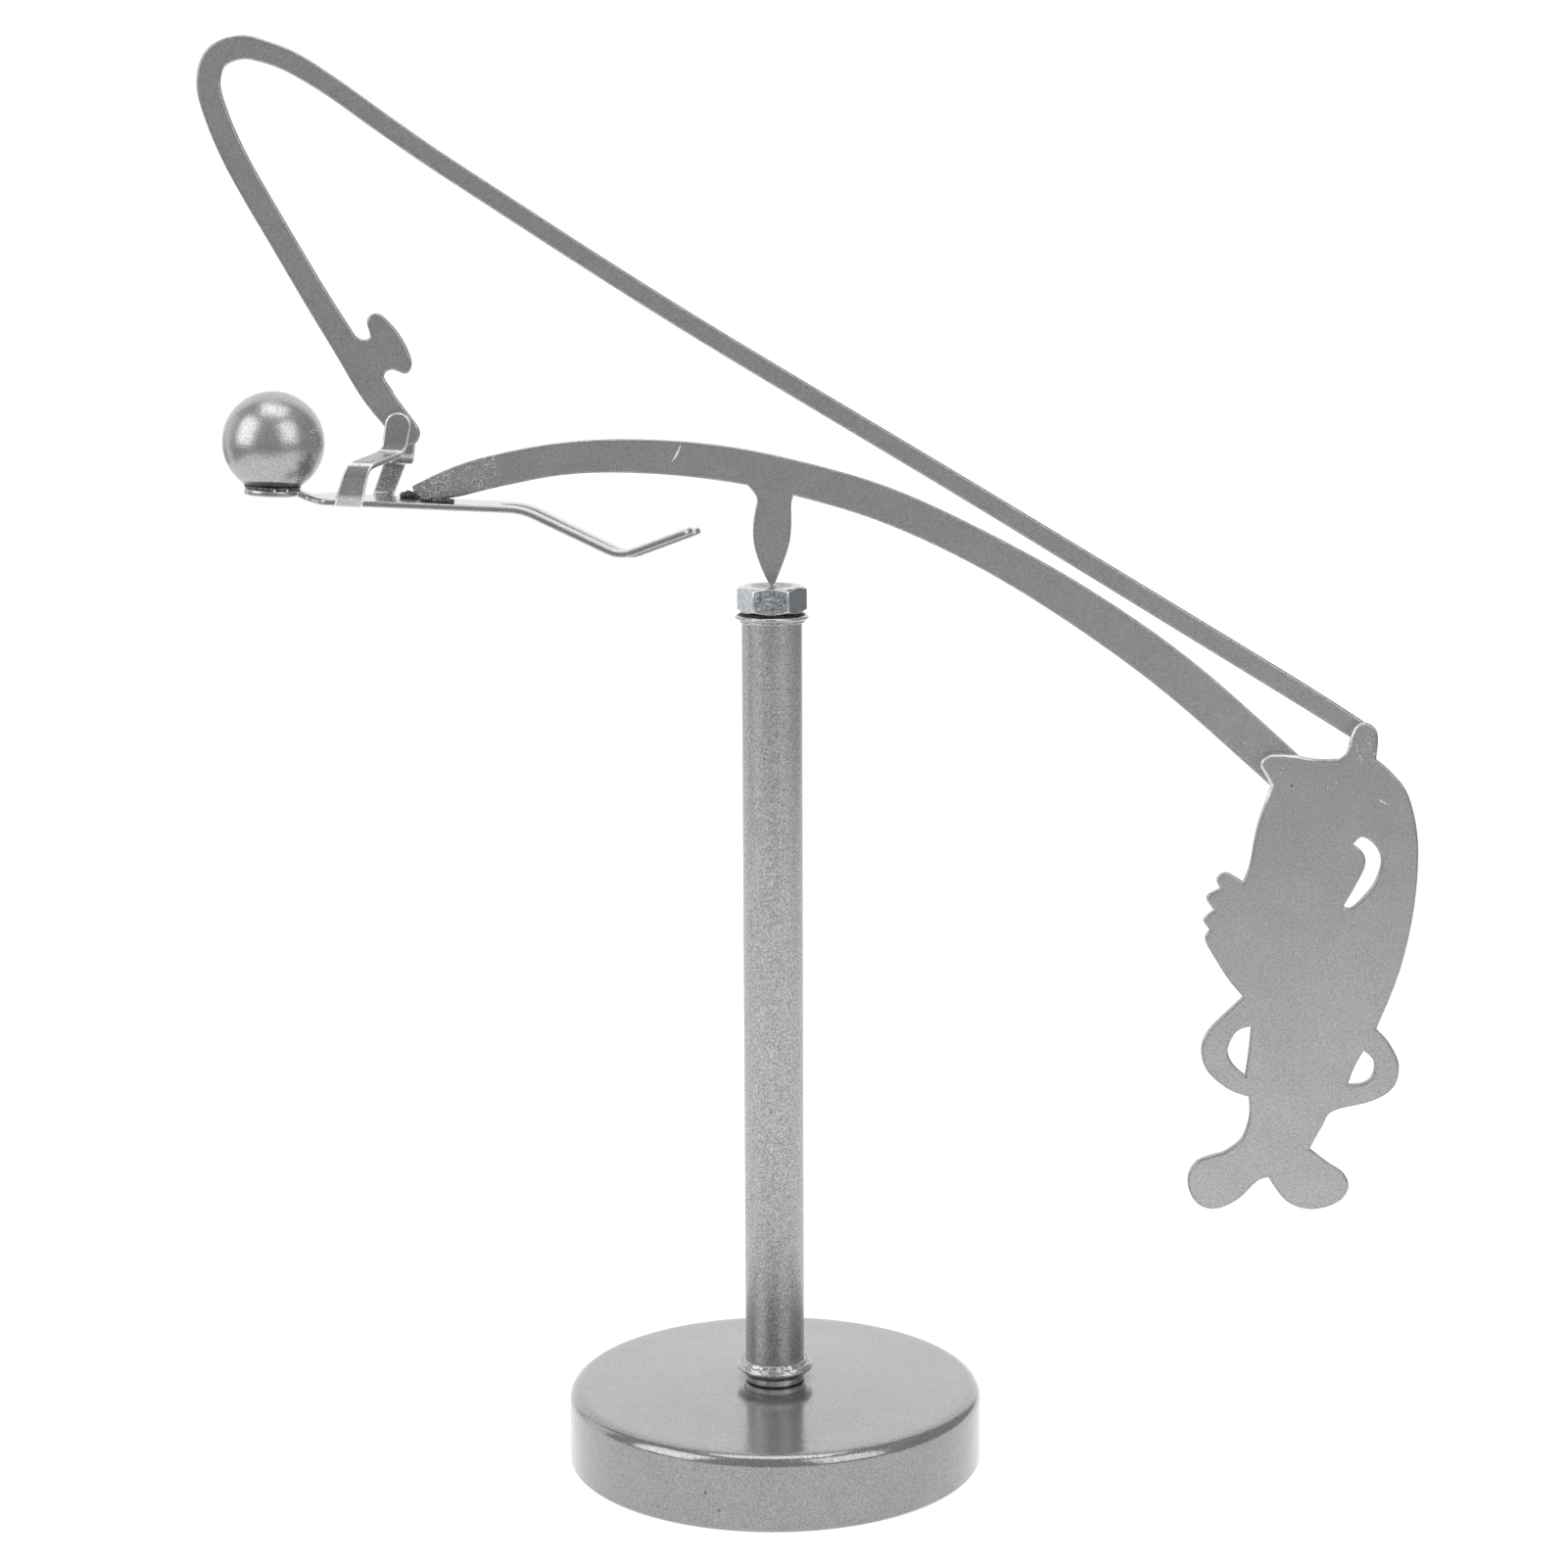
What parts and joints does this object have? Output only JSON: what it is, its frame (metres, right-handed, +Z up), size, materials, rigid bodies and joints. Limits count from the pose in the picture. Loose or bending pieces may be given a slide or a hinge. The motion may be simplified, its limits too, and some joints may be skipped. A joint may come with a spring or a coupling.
{
  "type": "counterweight balancing toy",
  "caption": "Desk balancing toy: a flat metal figure with a ball head and rod pulls a fish, on a curved arm that rocks on a spike point above a pole on a round base.",
  "frame": {"origin": "centre of the base's underside, on the pole's axis", "axes": "+Z up along the pole, +X along the arm from the figure to the fish, +Y away from the face that the fish is lapped on"},
  "size_m": [0.19, 0.067, 0.2282],
  "materials": {
    "silver_paint": "satin",
    "zinc": "satin",
    "bare_steel": "satin",
    "weld": "satin"
  },
  "bodies": {
    "stand": {"base_disc": "silver_paint", "base_washer": "zinc", "base_nut": "zinc", "stud": "zinc", "pole_tube": "silver_paint", "lower_collar": "silver_paint", "upper_collar": "silver_paint", "top_nut": "zinc"},
    "pivot_tip": {"spike_tip": "bare_steel"},
    "pivot_neck": {"spike_neck": "bare_steel"},
    "swing": {"balance_arm": "silver_paint", "fish": "silver_paint", "rod_line": "silver_paint", "figure_body": "silver_paint", "head_ball": "silver_paint", "head_weld": "weld", "tip_weld": "weld", "fish_weld": "weld", "line_weld": "weld", "hand_weld": "weld"}
  },
  "joints": [
    {"name": "spin", "type": "hinge", "parent": "stand", "child": "pivot_tip", "pos_m": [0, 0, 0.1435], "axis": [0, 0, 1], "continuous": true},
    {"name": "rock", "type": "hinge", "parent": "pivot_tip", "child": "pivot_neck", "pos_m": [0, 0, 0.1435], "axis": [0, 1, 0], "range_deg": [-20, 20]},
    {"name": "sway", "type": "hinge", "parent": "pivot_neck", "child": "swing", "pos_m": [0, 0, 0.1435], "axis": [1, 0, 0], "range_deg": [-15, 15]}
  ]
}
